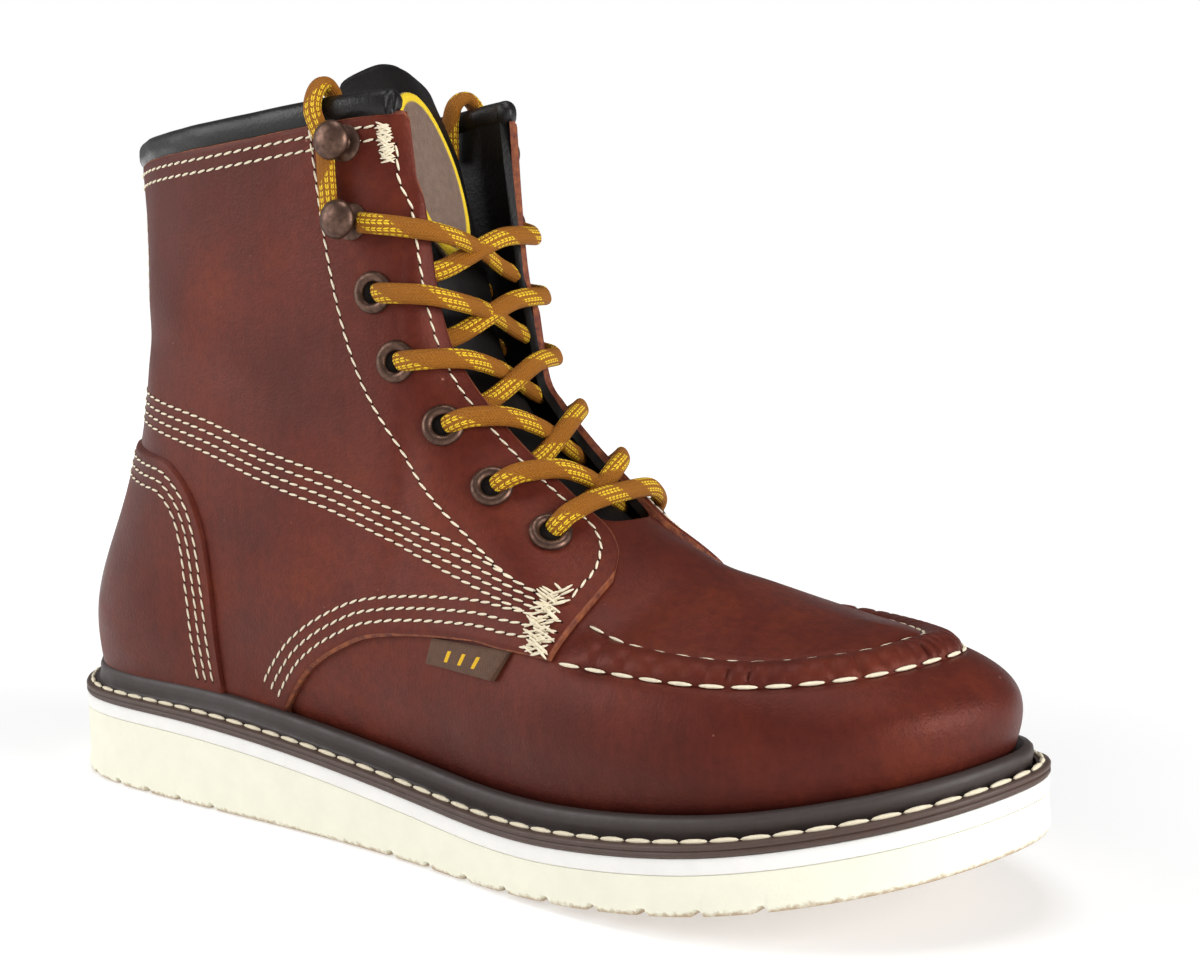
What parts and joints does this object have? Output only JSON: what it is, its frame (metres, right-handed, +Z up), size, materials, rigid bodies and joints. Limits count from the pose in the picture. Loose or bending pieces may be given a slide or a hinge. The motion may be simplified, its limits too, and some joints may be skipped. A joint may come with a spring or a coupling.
{
  "type": "work boot",
  "caption": "Ankle-high lace-up work boot for the right foot, with moccasin toe, wedge sole, hollow upper, tongue, eyelets, hooks and laces.",
  "frame": {"origin": "on the floor under the middle of the sole's outline", "axes": "+X from heel to toe, +Y to the inner side of the foot, +Z up"},
  "size_m": [0.305, 0.1039, 0.2035],
  "materials": {
    "oiled_leather": "waxed red-brown leather with satin gloss",
    "black_leather": "smooth black leather",
    "tongue_leather": "soft black leather",
    "welt_rubber": "dark brown, matte",
    "white_strip": "white, matte",
    "cream_wedge": "cream foam rubber, matte",
    "insole_leather": "undyed, matte",
    "antique_metal": "antique bronze, satin",
    "woven_lace": "braided cord, brown and gold",
    "patch_weave": "plain weave",
    "tag_weave": "plain woven tape"
  },
  "bodies": {
    "root": {"outsole": "cream_wedge", "midsole": "white_strip", "welt": "welt_rubber", "insole": "insole_leather", "upper": "oiled_leather", "quarter_lateral": "oiled_leather", "quarter_medial": "oiled_leather", "counter": "oiled_leather", "backstay": "oiled_leather", "collar_binding": "black_leather", "tongue": "tongue_leather", "tongue_patch": "patch_weave", "side_tag": "tag_weave", "eyelet_lateral_1": "antique_metal", "eyelet_lateral_2": "antique_metal", "eyelet_lateral_3": "antique_metal", "eyelet_lateral_4": "antique_metal", "eyelet_lateral_5": "antique_metal", "hook_lateral_1": "antique_metal", "hook_lateral_2": "antique_metal", "eyelet_medial_1": "antique_metal", "eyelet_medial_2": "antique_metal", "eyelet_medial_3": "antique_metal", "eyelet_medial_4": "antique_metal", "eyelet_medial_5": "antique_metal", "hook_medial_1": "antique_metal", "hook_medial_2": "antique_metal", "lace_bar": "woven_lace", "lace_cross_2": "woven_lace", "lace_cross_3": "woven_lace", "lace_cross_4": "woven_lace", "lace_cross_5": "woven_lace", "lace_cross_6": "woven_lace", "lace_end_lateral": "woven_lace", "lace_end_medial": "woven_lace"}
  },
  "joints": []
}
